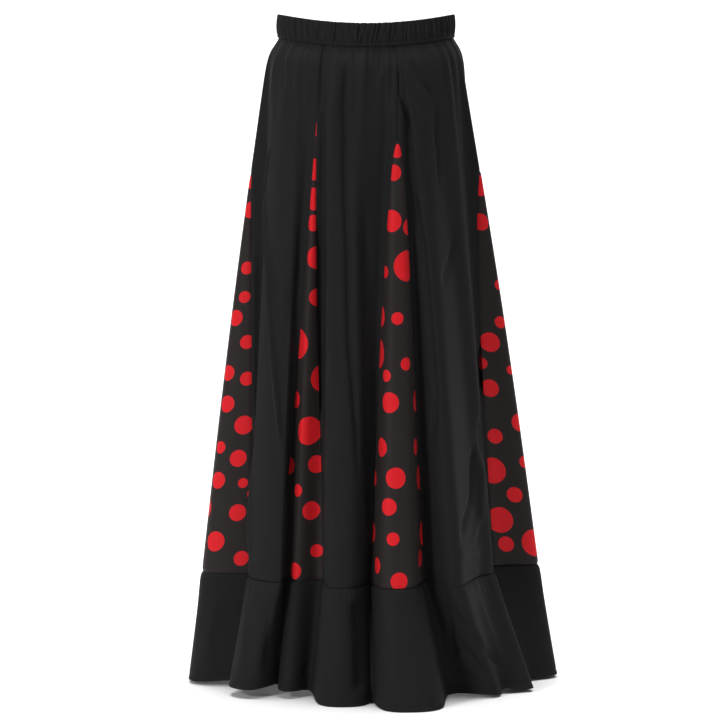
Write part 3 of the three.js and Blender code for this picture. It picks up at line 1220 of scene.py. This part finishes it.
@dataclass
class Waistband(Cloth):
    """The gathered casing: its outer side, rolled top edge and inner side."""

    columns: int = 840
    crowding: float = 24.0
    crown: float = 1.3
    ripples: int = 60
    ripple_swell: float = 1.15
    stitched_strip: float = 5.0
    groove: float = 0.75
    groove_width: float = 0.75
    strip_swell: float = 0.55
    inner_depth: float = 1.9
    inner_ripple: float = 0.8
    ripple_slant: float = 2.2
    flat_below_line: float = 0.75
    edge_drop: float = 0.5
    cut_width: float = 0.88
    cut_length: float = 0.075
    groups: tuple[PinchGroup, ...] = ()

    def profile(self) -> list[tuple[float, float, float]]:
        """The casing's section, from its outer lower edge over the top to its inner lower edge.

        Returns:
            Rows of millimetres below the top edge, how far in it lies, and the share of ripple it takes.
        """
        height = FORM.band_height
        outer = [height - up for up in (0.2, 0.8, 1.6, 2.6, 3.6, 4.4, 5.0, 5.7, 6.8, 8.5)]
        outer += list(np.linspace(height - 10.5, 3.0, 10)) + [1.6, 0.8]
        rolled = ((0.35, 0.25), (0.1, 0.6), (0.0, 0.95), (0.1, 1.3), (0.35, 1.65))
        inner = (1.0, 3.0, 8.0, 15.0, 22.0, 28.0, height - 0.4)
        rows = [(down, 0.0, 1.0) for down in outer]
        rows += [(down, inside, 1.0) for down, inside in rolled]
        rows += [(down, self.inner_depth, self.inner_ripple) for down in inner]
        return rows

    def pinched(self, angles: np.ndarray, share: np.ndarray) -> np.ndarray:
        """How far the listed gathers move the casing.

        Args:
            angles: directions in degrees.
            share: 0 at the top edge and 1 at the bottom.

        Returns:
            Millimetres.
        """
        lift = np.zeros(angles.shape)
        for group in self.groups:
            # Each gather strays a little in place, slant and depth, as cloth pushed along elastic does
            for index in range(group.count):
                uneven = 0.22 * math.sin(5.1 * index + group.at)
                centre = group.at + (index - (group.count - 1) / 2 + uneven) * group.spacing
                slant = group.lean * (0.75 + 0.45 * math.sin(3.7 * index + group.at))
                gap = (angles - centre - slant * (share - 0.5) + 180) % 360 - 180
                deep = group.depth * (0.72 + 0.28 * math.cos(2.3 * index + group.at))
                trough = np.exp(-((gap / group.width) ** 2))
                ridge = np.exp(-(((gap - 1.5 * group.width) / (1.3 * group.width)) ** 2))
                lift += deep * (0.55 * ridge - trough)
        return lift

    def draped(self) -> Drape:
        """The casing, all the way round.

        Returns:
            The casing's grid, whose last column lies on its first.
        """
        even = np.linspace(0, 360, self.columns + 1)
        turn = even - self.crowding * np.sin(np.radians(even))
        cut_across = turn / 360 * self.cut_width / MM
        turn[-1] = 0.0
        profile = self.profile()
        points, across, down = [], [], []
        height = FORM.band_height
        line = height - self.stitched_strip
        length = 0.0
        for index, (depth, inside, ripple) in enumerate(profile):
            share = depth / height
            crown = math.sin(math.pi * min(max(share, 0), 1))
            lines = math.exp(-(((depth - line) / self.groove_width) ** 2))
            strip = float(line < depth) * math.sin(math.pi * (depth - line) / self.stitched_strip)
            soft = 1.0 - self.flat_below_line * float(depth > line)
            lift = self.crown * crown - self.thickness / 2 - inside
            lift = lift - self.groove * lines + self.strip_swell * strip
            wave = self.ripple_swell * cad_wave(turn - self.ripple_slant * (share - 0.5), self.ripples)
            pinched = self.pinched(turn, np.full(turn.shape, share))
            lift = lift + ripple * soft * (wave * (0.45 + 0.4 * crown) + pinched)
            plan = FORM.waist_point(turn) + FORM.waist_outward(turn) * lift[:, None]
            drop = self.edge_drop * np.maximum(-pinched, 0) * max(1 - share, 0) ** 5
            z = height / 2 - FORM.waist_dip(turn) - depth - drop
            points.append(np.concatenate([plan, z[:, None]], -1))
            if index:
                before = profile[index - 1]
                length += math.hypot(depth - before[0], inside - before[1])
            across.append(cut_across)
            down.append(np.full(self.columns + 1, length))
        return Drape(np.array(points), np.array(across), np.array(down))

    def stitches(self, drape: Drape) -> list[StitchRow]:
        """The casing's two rows of stitches, at the top and bottom of its stitched strip.

        Args:
            drape: the casing's grid.

        Returns:
            The two rows.
        """
        rows = []
        ways = drape.outward()
        for depth in (FORM.band_height - self.stitched_strip, FORM.band_height - 0.8):
            row = int(np.argmin([abs(entry[0] - depth) + 100 * entry[1] for entry in self.profile()]))
            rows.append(StitchRow(drape.points[row] - ways[row] * (self.thickness / 2), -ways[row]))
        return rows

    def build(self, material: bpy.types.Material) -> tuple[bpy.types.Object, Drape]:
        """Makes the casing.

        Args:
            material: its cloth.

        Returns:
            The object and its grid.
        """
        drape = self.draped()
        piece = self.sewn(drape, material, weld=True)
        return piece, drape


@dataclass(frozen=True)
class Dot:
    """A printed dot: its flat place on the cloth and its radius, in millimetres."""

    across: float
    down: float
    radius: float


@dataclass(frozen=True)
class DotPrint:
    """A print of dots of mixed sizes that repeats across and down the cloth."""

    wide: float = 118.0
    high: float = 150.0
    clear: float = 6.5
    margin: float = 2.0
    most_shown: float = 0.12
    repeat: tuple[Dot, ...] = (
        Dot(16, 18, 14),
        Dot(56, 12, 10),
        Dot(94, 26, 17),
        Dot(40, 46, 12),
        Dot(72, 62, 15),
        Dot(10, 70, 19),
        Dot(98, 92, 10),
        Dot(44, 96, 13),
        Dot(72, 122, 18),
        Dot(26, 132, 15),
        Dot(110, 132, 9),
    )

    def fill(self, half: float, first: float, last: float, shift: tuple[float, float]) -> list[Dot]:
        """Repeats the print over a piece.

        Args:
            half: half of the piece's width.
            first: the flat height where the piece starts.
            last: the flat height where it ends.
            shift: how far this piece was cut across and down the print.

        Returns:
            The dots that touch the piece's box.
        """
        dots = []
        for column in range(-4, 5):
            for row in range(-2, 8):
                for dot in self.repeat:
                    across = dot.across + column * self.wide - shift[0]
                    down = dot.down + row * self.high - shift[1]
                    if abs(across) < half + dot.radius and first - dot.radius < down < last + dot.radius:
                        dots.append(Dot(across, down, dot.radius))
        return dots


@dataclass
class DepthMap:
    """What lies nearest to the photograph's camera, in coarse cells."""

    cell: float = 5.0
    cells_wide: int = 150
    behind: float = 22.0
    facing: float = 0.12

    def __post_init__(self) -> None:
        """Starts with nothing in view."""
        self.nearest = np.full((self.cells_wide, self.cells_wide), np.inf)

    def cells(self, points: np.ndarray) -> tuple[np.ndarray, np.ndarray, np.ndarray]:
        """The cell that each point falls in, and how far from the camera it is.

        Args:
            points: places in millimetres.

        Returns:
            Cells down and across, and the distances.
        """
        seen, ahead = SIGHT.seen(points)
        index = np.clip((seen / self.cell).astype(int), 0, self.cells_wide - 1)
        return index[..., 1], index[..., 0], ahead

    def add(self, drape: Drape) -> None:
        """Takes in one piece."""
        row, column, ahead = self.cells(drape.points)
        np.minimum.at(self.nearest, (row.ravel(), column.ravel()), ahead.ravel())

    def shows(self, drape: Drape) -> np.ndarray:
        """Whether each point of a piece shows in the photograph.

        Args:
            drape: the piece's grid.

        Returns:
            A yes or no for each point.
        """
        row, column, ahead = self.cells(drape.points)
        turned = np.einsum("...i,...i", drape.outward(), SIGHT.place - drape.points) / ahead
        return (turned > self.facing) & (ahead < self.nearest[row, column] + self.behind)


@dataclass
class GodetPrint:
    """The dots of one godet, placed where the photograph shows them and repeated where it doesn't.

    Each row of seen holds the pixels across and down of a dot's centre, and its radius in millimetres.
    """

    shift: tuple[float, float]
    seen: tuple[tuple[float, float, float], ...] = ()

    def dots(self, drape: Drape, depth_map: DepthMap) -> list[Dot]:
        """Places the dots on the cloth.

        Args:
            drape: the godet's cloth, without its allowances.
            depth_map: what the photograph shows.

        Returns:
            The dots.
        """
        placed = []
        for across, down, radius in self.seen:
            place = drape.flat_place(np.array([across, down]))
            placed.append(Dot(float(place[0]), float(place[1]), radius))
        half = float(np.abs(drape.across).max())
        shows = depth_map.shows(drape) if self.seen else np.zeros(drape.across.shape, bool)
        for dot in DOT_PRINT.fill(half, float(drape.down.min()), float(drape.down.max()), self.shift):
            gap = np.hypot(drape.across - dot.across, drape.down - dot.down)
            if gap.min() > dot.radius:
                continue
            under = gap < dot.radius + DOT_PRINT.margin
            clear = all(
                math.hypot(dot.across - other.across, dot.down - other.down)
                > dot.radius + other.radius + DOT_PRINT.clear
                for other in placed
            )
            if clear and shows[under].mean() < DOT_PRINT.most_shown:
                placed.append(dot)
        return placed


DOT_PRINT = DotPrint()


@dataclass(frozen=True)
class ClothFinish:
    """How one cloth looks. The UV map is the flat cloth in metres."""

    name: str
    colour: str
    slub_colour: str
    roughness: float
    sheen: float
    sheen_tint: str
    grain: float
    specular: float
    yarn_scale: tuple[float, float, float] = (620.0, 26.0, 1.0)
    relief: float = 0.0004

    def tree(self) -> tuple[bpy.types.Material, bpy.types.NodeTree]:
        """Makes an empty material.

        Returns:
            The material and its node tree.
        """
        material = bpy.data.materials.new(self.name)
        material.use_nodes = True
        material.node_tree.nodes.clear()
        return material, material.node_tree

    def yarn(self, tree: bpy.types.NodeTree) -> bpy.types.NodeSocket:
        """Uneven yarn that runs down the cloth, from 0 to 1.

        Args:
            tree: the material's node tree.

        Returns:
            The output that holds it.
        """
        flat = add_node(tree, "ShaderNodeUVMap", uv_map="cloth")
        stretched = add_node(tree, "ShaderNodeVectorMath", {0: flat.outputs[0]}, operation="MULTIPLY")
        stretched.inputs[1].default_value = self.yarn_scale
        noise = add_node(
            tree, "ShaderNodeTexNoise", {"Vector": stretched.outputs[0]},
            in_Scale=1.0, in_Detail=3.0, in_Roughness=0.6,
        )
        return noise.outputs[0]

    def finish(
        self, tree: bpy.types.NodeTree, colour: bpy.types.NodeSocket, yarn: bpy.types.NodeSocket
    ) -> None:
        """Joins a colour and the yarn's relief into the surface.

        Args:
            tree: the material's node tree.
            colour: the cloth's colour.
            yarn: height of the yarn, from 0 to 1.
        """
        bump = add_node(
            tree, "ShaderNodeBump", {"Height": yarn}, in_Strength=self.grain, in_Distance=self.relief
        )
        surface = add_node(
            tree,
            "ShaderNodeBsdfPrincipled",
            {"Base Color": colour, "Normal": bump.outputs[0]},
            in_Roughness=self.roughness,
            in_Sheen_Weight=self.sheen,
            in_Sheen_Roughness=0.5,
            in_Sheen_Tint=linear(self.sheen_tint),
            in_Specular_IOR_Level=self.specular,
        )
        add_node(tree, "ShaderNodeOutputMaterial", {"Surface": surface.outputs[0]})

    def ground(self, tree: bpy.types.NodeTree, yarn: bpy.types.NodeSocket) -> bpy.types.NodeSocket:
        """The cloth's own colour, a little lighter on thick yarn.

        Args:
            tree: the material's node tree.
            yarn: height of the yarn, from 0 to 1.

        Returns:
            The output that holds the colour.
        """
        mix = add_node(tree, "ShaderNodeMix", data_type="RGBA")
        tree.links.new(yarn, mix.inputs["Factor"])
        mix.inputs[6].default_value = linear(self.colour)
        mix.inputs[7].default_value = linear(self.slub_colour)
        return mix.outputs[2]

    def material(self) -> bpy.types.Material:
        """Makes the plain cloth.

        Returns:
            The material.
        """
        material, tree = self.tree()
        yarn = self.yarn(tree)
        self.finish(tree, self.ground(tree, yarn), yarn)
        return material


@dataclass(frozen=True)
class DottedFinish(ClothFinish):
    """The dotted cloth: the same weave with dots printed on it."""

    dot_colour: str = "d41c24"
    dot_edge: float = 0.3

    def printed(self, piece: str, dots: list[Dot]) -> bpy.types.Material:
        """Makes one godet's cloth.

        Args:
            piece: the godet's name.
            dots: its dots.

        Returns:
            The material.
        """
        material, tree = self.tree()
        material.name = f"{self.name}_{piece}"
        yarn = self.yarn(tree)
        ground = self.ground(tree, yarn)
        flat = add_node(tree, "ShaderNodeUVMap", uv_map="cloth").outputs[0]
        nearest = None
        for dot in dots:
            gap = add_node(tree, "ShaderNodeVectorMath", {0: flat}, operation="DISTANCE")
            gap.inputs[1].default_value = (dot.across * MM, -dot.down * MM, 0.0)
            radius = dot.radius * MM
            edge = add_node(
                tree, "ShaderNodeMath", {0: gap.outputs["Value"]}, operation="SUBTRACT", in_1=radius
            ).outputs[0]
            if nearest is None:
                nearest = edge
            else:
                both = {0: nearest, 1: edge}
                nearest = add_node(tree, "ShaderNodeMath", both, operation="MINIMUM").outputs[0]
        half = self.dot_edge / 2 * MM
        inked = add_node(
            tree, "ShaderNodeMapRange", {"Value": nearest}, in_1=-half, in_2=half, in_3=1.0, in_4=0.0
        )
        mix = add_node(tree, "ShaderNodeMix", data_type="RGBA")
        tree.links.new(inked.outputs[0], mix.inputs["Factor"])
        tree.links.new(ground, mix.inputs[6])
        mix.inputs[7].default_value = linear(self.dot_colour)
        self.finish(tree, mix.outputs[2], yarn)
        return material


# Plain polyester gabardine, matte: near black, with a faint grey bloom where light grazes it
PLAIN_CLOTH = ClothFinish(
    name="plain_black_polyester",
    colour="19191a",
    slub_colour="222223",
    roughness=0.76,
    sheen=0.02,
    sheen_tint="c8c8cc",
    grain=0.3,
    specular=0.09,
)

# Printed polyester crepe: warm black ground and pure red dots, a little smoother than the plain cloth
DOTTED_CLOTH = DottedFinish(
    name="dotted_crepe",
    colour="231e1e",
    slub_colour="2b2525",
    roughness=0.62,
    sheen=0.02,
    sheen_tint="d8d4d2",
    grain=0.2,
    specular=0.14,
)

# Spun black sewing thread, which catches a little more light than the cloth under it
THREAD = ClothFinish(
    name="black_thread",
    colour="242426",
    slub_colour="2e2e30",
    roughness=0.55,
    sheen=0.0,
    sheen_tint="ffffff",
    grain=0.0,
    specular=0.2,
)

BAND_GROUPS = (
    PinchGroup(at=-80, count=3, spacing=3.8, lean=1.2),
    PinchGroup(at=-62, count=7, spacing=3.5, lean=0.8, depth=2.2),
    PinchGroup(at=-43, count=3, spacing=3.6, lean=-1.2, depth=1.3),
    PinchGroup(at=-33.5, count=2, spacing=3.2, lean=-1.6, depth=2.2),
    PinchGroup(at=-23, count=3, spacing=3.2, lean=-3.6, depth=2.1),
    PinchGroup(at=-11, count=3, spacing=4.0, lean=-2.2, depth=1.1),
    PinchGroup(at=-1, count=3, spacing=3.3, lean=-5.6, depth=2.5),
    PinchGroup(at=12, count=5, spacing=3.2, lean=-5.8, depth=2.6),
    PinchGroup(at=26, count=2, spacing=3.4, lean=-2.4, depth=1.5),
    PinchGroup(at=36, count=4, spacing=3.1, lean=1.6, depth=2.0),
    PinchGroup(at=50, count=4, spacing=3.4, lean=1.2, depth=2.2),
    PinchGroup(at=63, count=4, spacing=3.2, lean=2.0, depth=2.1),
    PinchGroup(at=77, count=4, spacing=3.4, lean=1.4, depth=1.9),
    PinchGroup(at=98, count=7, spacing=3.6, lean=-2.0),
    PinchGroup(at=131, count=8, spacing=3.3, lean=2.6),
    PinchGroup(at=165, count=8, spacing=3.2, lean=-2.8),
    PinchGroup(at=199, count=8, spacing=3.3, lean=2.4),
    PinchGroup(at=232, count=8, spacing=3.4, lean=-2.6),
    PinchGroup(at=260, count=6, spacing=3.6, lean=2.2),
)

GODET_PRINTS = {
    "godet_side_right": GodetPrint(
        shift=(21.0, 12.0),
        seen=(
            (250, 182, 10), (248, 210, 12.3), (247, 268, 9.6), (244.5, 297, 8.9), (235.4, 318, 12.1),
            (247, 342, 10.4), (227.7, 373, 11.8), (247, 378.6, 10.4), (226.7, 404, 12.6),
            (243.8, 425, 14), (220.3, 447.3, 9.3), (238.2, 458.3, 12.6), (217.6, 480.3, 12.6),
            (243, 483, 7.4), (208, 507.7, 14), (237.5, 512.6, 12.6), (215, 541.4, 15),
            (241.2, 558.3, 11.1),
        ),
    ),
    "godet_front_right": GodetPrint(
        shift=(64.0, 47.0),
        seen=(
            (314.4, 129, 10), (316, 169.5, 16), (314, 199, 16.5), (313.3, 223, 12),
            (316.5, 257.5, 16.5), (323, 297, 13), (297, 343.5, 22), (325, 378, 20.5),
            (292.4, 399, 13), (308.7, 430.8, 20.7), (287.6, 465.3, 13), (316, 464, 13),
            (296.9, 490.5, 9.4), (310.8, 510.5, 13.7), (316.2, 550.6, 9.5), (293.9, 571, 12.3),
        ),
    ),
    "godet_front_left": GodetPrint(
        shift=(37.0, 88.0),
        seen=(
            (395, 151, 10), (393.4, 172.7, 12), (391, 221, 16.3), (407.8, 227, 12), (407, 266, 22.6),
            (385.3, 272, 9), (375, 316, 15.7), (397.5, 318.5, 9.2), (372, 353, 21.5),
            (406.2, 364, 9.5), (385.9, 375.8, 8.8), (389.1, 402.7, 15), (416, 401.3, 15.4),
            (381, 447.3, 14), (416, 446.8, 12.4), (372, 477.5, 12), (395.7, 478.2, 15.2),
            (424, 477, 17.7), (388.4, 507, 12.4), (373, 532, 14.8), (393, 539.2, 9.6), (423, 532, 20),
            (376.8, 565.4, 12), (421, 558, 12.7), (399.3, 581.6, 13),
        ),
    ),
    "godet_side_left": GodetPrint(
        shift=(90.0, 25.0),
        seen=(
            (477, 185, 16.5), (480.5, 221.8, 13), (474, 255.8, 12), (473.5, 295, 13.5), (499, 285, 8),
            (500.7, 322.2, 9.3), (489.9, 342.1, 15), (481.4, 363.1, 8.5), (510.5, 370, 7),
            (489.9, 388.1, 13.5), (482.1, 417.2, 8.7), (519, 422.4, 14), (495, 436.1, 11.5),
            (477.9, 445.6, 10.8), (492.7, 470.5, 20), (524, 461.9, 9.3), (514.7, 494.7, 12),
            (499.9, 519.8, 20), (506, 544, 12), (534, 542.7, 21),
        ),
    ),
    "godet_back_left": GodetPrint(shift=(12.0, 70.0)),
    "godet_back_right": GodetPrint(shift=(75.0, 118.0)),
}

SEEN_CREASES = {
    "gore_front_right": (
        SeenCrease(((254, 240), (253, 300), (252, 400), (250.5, 500), (250, 568)), 9, 5.5, 0.1),
        SeenCrease(((270, 146), (265, 192)), 3.2, 4.4),
        SeenCrease(((259, 146), (264, 192)), 3.2, 4.0),
        SeenCrease(
            ((264, 184), (266, 240), (268, 262), (273, 360), (276.7, 400), (281, 447)),
            3.4, 5.4, 0.08,
        ),
        SeenCrease(((272, 235), (279, 360), (285, 440)), 8, -3.0),
        SeenCrease(((276, 48), (269, 112)), 7, 2.4),
        SeenCrease(((288, 46), (284, 92)), 5, -3.0),
        SeenCrease(((300, 46), (297, 98)), 6, 2.0),
        SeenCrease(((311, 47), (306, 112)), 6, 2.4),
        SeenCrease(((294, 270), (286, 340), (284, 400)), 9, -3.8),
    ),
    "gore_front_centre": (
        SeenCrease(((324, 46), (321, 88), (319.5, 118)), 3.6, -3.4),
        SeenCrease(((338, 66), (331, 120), (330, 250), (331, 400)), 8, 4.2, 0.15),
        SeenCrease(
            ((350, 46), (346, 73), (344, 110), (345, 143), (347.5, 250), (349, 340), (356, 420), (359, 485)),
            5, -6.2, 0.08,
        ),
        SeenCrease(((356, 100), (356, 250), (359, 340), (364, 440)), 8, 2.6),
        SeenCrease(((364, 48), (366, 84)), 8, 2.2),
        SeenCrease(((380.7, 45), (380.7, 76)), 3.4, -3.6),
        SeenCrease(((320.5, 205), (321, 260), (321.5, 330), (322, 400), (323, 440)), 10, -7.5),
        SeenCrease(((366, 170), (367, 260), (367, 350), (368, 450), (369, 540)), 13, -7.5),
        SeenCrease(((388, 48), (389.5, 100), (391, 130)), 5, 2.4),
    ),
    "gore_front_left": (
        SeenCrease(((396.5, 60), (399, 90), (406.5, 120), (411, 142)), 4.2, -5.0),
        SeenCrease(((401, 54), (406, 90), (414, 135), (417, 180)), 6, 3.0),
        SeenCrease(((408, 57), (420, 78), (437, 102)), 5.5, -4.2),
        SeenCrease(((437, 98), (436, 140), (438, 192)), 5, -3.0),
        SeenCrease(((413, 185), (418, 225), (423, 250), (431, 340), (435, 397), (432, 450)), 6.5, -6.0, 0.12),
        SeenCrease(((456, 232), (450, 260), (441, 286)), 8, -3.4),
        SeenCrease(((479, 330), (482, 380), (482.5, 430), (486, 480)), 12, -7.0),
        SeenCrease(((476, 436), (471, 500), (459, 540)), 7.0, -5.5, 0.2),
        SeenCrease(((482, 450), (481, 515), (471, 552)), 8, 3.0, 0.2),
        SeenCrease(((446, 541), (460, 556), (476, 554), (488, 540)), 8, 3.4),
    ),
    "ruffle_strip_1": (
        SeenCrease(((268, 596), (269, 640), (266, 678)), 11, -5.0),
        SeenCrease(((247, 600), (243, 650), (238, 684)), 9, 2.4),
        SeenCrease(((216, 595), (207, 650), (205, 674)), 10, 2.2),
    ),
    "ruffle_strip_2": (
        SeenCrease(((302.5, 676), (306, 669), (311, 666)), 4, -5.0),
        SeenCrease(((358, 594), (361, 650), (362, 695)), 15, -9.0, 0.12),
        SeenCrease(((326, 600), (323, 690)), 10, 2.4),
    ),
    "ruffle_strip_3": (
        SeenCrease(((447, 600), (460, 620), (485, 650), (508, 668)), 4.8, -5.0),
        SeenCrease(((460, 644), (472, 657), (487, 676)), 4.6, -5.0),
        SeenCrease(((447, 608), (452, 640), (458, 660)), 5, -5.0),
        SeenCrease(((450, 668), (466, 672), (482, 684)), 4.4, -4.0),
        SeenCrease(((400, 600), (396, 650), (392, 700)), 12, 2.0),
        SeenCrease(((478, 598), (493, 640), (505, 672)), 10, 3.0),
    ),
}


@dataclass(frozen=True)
class Lamp:
    """A soft square light: where it stands and aims, its size in metres and its power in watts."""

    name: str
    place: tuple[float, float, float]
    aim: tuple[float, float, float]
    size: float
    power: float


@dataclass
class Studio:
    """A swept pale backdrop, soft lights and the photograph's camera, in metres."""

    half_width: float = 9.0
    front: float = -9.0
    bend_start: float = 3.2
    bend_radius: float = 2.2
    bend_steps: int = 25
    wall_top: float = 6.0
    lamps: tuple[Lamp, ...] = (
        Lamp("key", (-3.4, -4.1, 1.5), (0.0, 0.0, -0.45), 0.9, 120.0),
        Lamp("fill", (2.0, -4.8, 0.8), (0.0, 0.0, -0.5), 2.6, 8.0),
        Lamp("wall_light", (0.0, 1.6, 4.2), (0.0, 5.2, 0.2), 4.0, 300.0),
        Lamp("floor_light", (0.0, 0.0, 3.4), (0.0, 0.0, -1.0), 3.6, 155.0),
    )
    world_strength: float = 0.1

    def backdrop(self) -> None:
        """Sweeps the floor up into a wall behind the skirt."""
        floor = -FORM.band_to_floor * MM
        section = [(self.front, floor), (0.0, floor)]
        for turn in np.linspace(0, math.pi / 2, self.bend_steps):
            back = self.bend_start + self.bend_radius * math.sin(turn)
            section.append((back, floor + self.bend_radius * (1 - math.cos(turn))))
        section.append((self.bend_start + self.bend_radius, self.wall_top))
        mesh = bpy.data.meshes.new("backdrop")
        work = bmesh.new()
        bmesh.ops.create_grid(work, x_segments=1, y_segments=len(section) - 1, size=1.0)
        for vert in work.verts:
            index = round((vert.co.y + 1) / 2 * (len(section) - 1))
            vert.co = Vector((vert.co.x * self.half_width, *section[index]))
        for face in work.faces:
            face.smooth = True
        work.to_mesh(mesh)
        work.free()
        piece = bpy.data.objects.new("backdrop", mesh)
        bpy.context.scene.collection.objects.link(piece)
        material = bpy.data.materials.new("pale_paper")
        material.use_nodes = True
        material.node_tree.nodes.clear()
        surface = add_node(
            material.node_tree, "ShaderNodeBsdfPrincipled",
            in_Base_Color=linear("fafafa"), in_Roughness=0.95, in_Specular_IOR_Level=0.1,
        )
        add_node(material.node_tree, "ShaderNodeOutputMaterial", {"Surface": surface.outputs[0]})
        mesh.materials.append(material)

    def light(self, lamp: Lamp) -> None:
        """Adds one of the lights.

        Args:
            lamp: its place, aim, size and power.
        """
        data = bpy.data.lights.new(lamp.name, "AREA")
        data.shape = "SQUARE"
        data.size = lamp.size
        data.energy = lamp.power
        light = bpy.data.objects.new(lamp.name, data)
        light.location = lamp.place
        way = Vector(lamp.aim) - Vector(lamp.place)
        light.rotation_euler = way.to_track_quat("-Z", "Y").to_euler()
        bpy.context.scene.collection.objects.link(light)

    def camera(self) -> None:
        """Stands the photograph's camera in place."""
        data = bpy.data.cameras.new("camera")
        data.lens = SIGHT.lens
        data.sensor_width = SIGHT.sensor
        data.clip_end = 100.0
        camera = bpy.data.objects.new("camera", data)
        camera.location = Vector(SIGHT.place * MM)
        camera.rotation_euler = (math.radians(90 - SIGHT.tilt), 0.0, 0.0)
        bpy.context.scene.collection.objects.link(camera)
        bpy.context.scene.camera = camera

    def build(self) -> None:
        """Sets the stage."""
        scene = bpy.context.scene
        world = bpy.data.worlds.new("studio")
        world.use_nodes = True
        world.node_tree.nodes.clear()
        sky = add_node(
            world.node_tree, "ShaderNodeBackground",
            in_Color=linear("ffffff"), in_Strength=self.world_strength,
        )
        add_node(world.node_tree, "ShaderNodeOutputWorld", {"Surface": sky.outputs[0]})
        scene.world = world
        scene.view_settings.view_transform = "Standard"
        self.backdrop()
        for lamp in self.lamps:
            self.light(lamp)
        self.camera()


def body_panels() -> list[BodyPanel]:
    """Lays out the godets and the gores between them.

    Returns:
        The panels, each godet with the gore on its left after it.
    """
    panels = []
    for index, godet in enumerate(GODETS):
        gore = FOLDS[godet.ridge // POINTS_PER_FOLD + 1].panel
        after = GODETS[(index + 1) % len(GODETS)]
        if after.ridge < godet.ridge:
            after = Godet(after.name, after.ridge + TURN)
        panels.append(
            BodyPanel(
                name=godet.name, slot="dotted_cloth", left=godet, left_side=-1, right=godet, right_side=1,
                start=godet.start, column_count=50, row_count=120,
            )
        )
        panels.append(
            BodyPanel(
                name=gore, left=godet, left_side=1, right=after, right_side=-1,
                column_count=120 if gore == "gore_front_left" else 88,
                seen_creases=SEEN_CREASES.get(gore, ()),
            )
        )
    return panels


def ruffle_strips() -> list[RuffleStrip]:
    """Lays out the strips of the hem ruffle.

    Returns:
        The strips, from the wearer's right side round.
    """
    strips = []
    for index, godet in enumerate(GODETS):
        first = godet.ridge - 2
        last = GODETS[(index + 1) % len(GODETS)].ridge - 2
        name = f"ruffle_strip_{index + 1}"
        strips.append(
            RuffleStrip(
                name=name, first=first, last=last + (TURN if last < first else 0),
                column_count=150 if last - first > 8 else 110,
                seen_creases=SEEN_CREASES.get(name, ()),
            )
        )
    return strips


def main() -> None:
    """Builds the skirt and its studio."""
    logging.basicConfig(level=logging.INFO, format="%(name)s: %(message)s")
    plain, thread = PLAIN_CLOTH.material(), THREAD.material()
    panels = body_panels()
    depth_map = DepthMap()
    drapes = {panel.name: panel.draped(False) for panel in panels}
    for drape in drapes.values():
        depth_map.add(drape)
    for panel in panels:
        material = plain
        if panel.name in GODET_PRINTS:
            dots = GODET_PRINTS[panel.name].dots(drapes[panel.name], depth_map)
            material = DOTTED_CLOTH.printed(panel.name, dots)
            LOG.info("%s: %d dots", panel.name, len(dots))
        panel.build(material)
    hem_rows = []
    for strip in ruffle_strips():
        _, drape = strip.build(plain)
        hem_rows.append(strip.stitches(drape))
    band = Waistband(name="waistband_casing", groups=BAND_GROUPS, thickness=0.7)
    _, drape = band.build(plain)
    stitching("hem_stitches", hem_rows, thread)
    stitching("band_stitches", band.stitches(drape), thread)
    Studio().build()


if __name__ == "__main__":
    main()
    bpy.context.view_layer.update()
